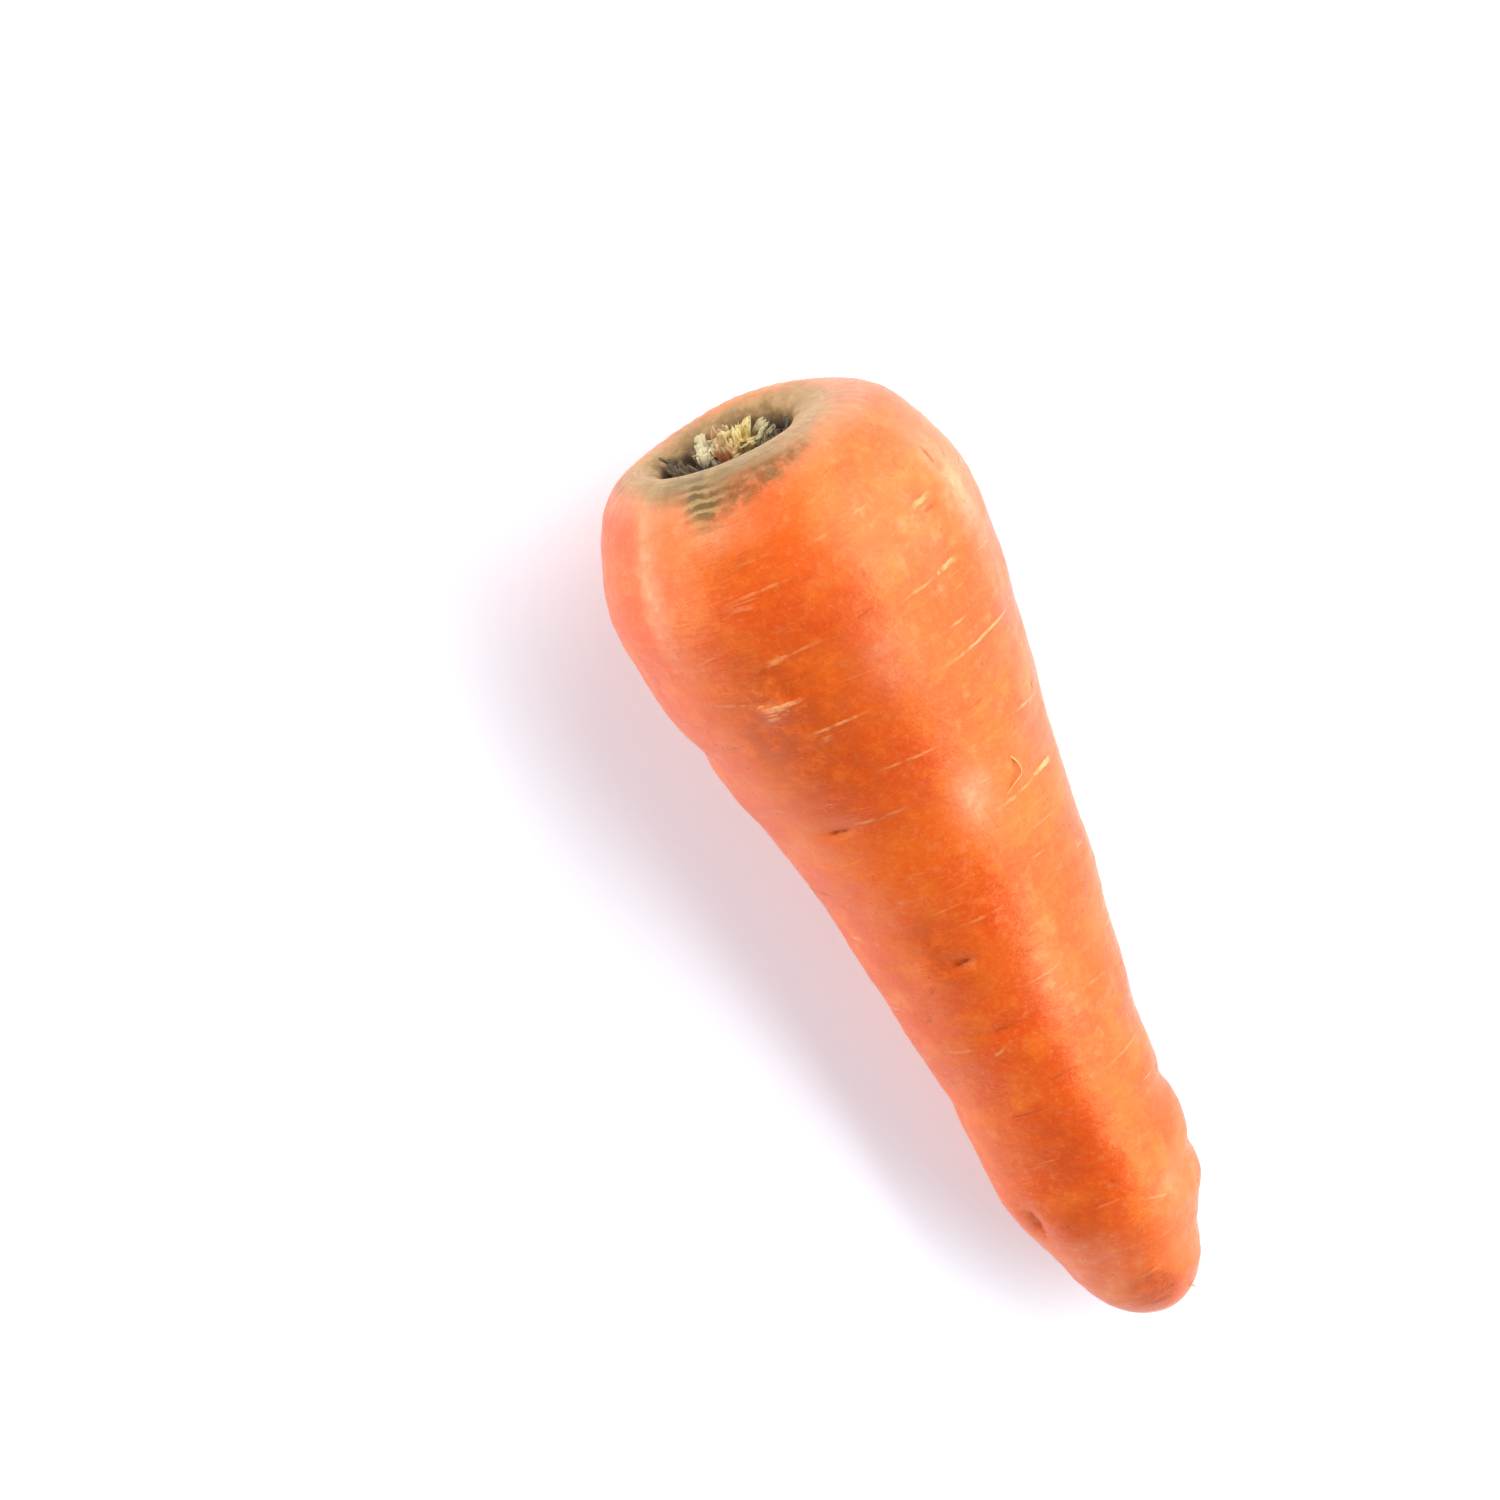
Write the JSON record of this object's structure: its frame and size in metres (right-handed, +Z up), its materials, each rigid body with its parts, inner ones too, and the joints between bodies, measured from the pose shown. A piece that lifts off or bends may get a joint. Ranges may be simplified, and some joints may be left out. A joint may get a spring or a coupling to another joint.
{
  "type": "topped carrot",
  "caption": "Plump orange carrot root with its leaves cut off, lying on its side, with dry leaf stalk bases in the hollow of its crown.",
  "frame": {"origin": "middle of the bottom of the bounding box, on the surface that the carrot lies on", "axes": "+X from the crown towards the tip, +Z up"},
  "size_m": [0.1572, 0.0574, 0.0563],
  "materials": {
    "carrot_skin": "Moist, washed carrot skin with a soft sheen",
    "withered_stalk": "Dull, dark brown, withered plant fibre",
    "dry_stalk": "Dull, straw-coloured, dried cut plant fibre"
  },
  "bodies": {
    "root": {"taproot": "carrot_skin", "old_stalk_bases": "withered_stalk", "leaf_stalk_stubs": "dry_stalk"}
  },
  "joints": []
}
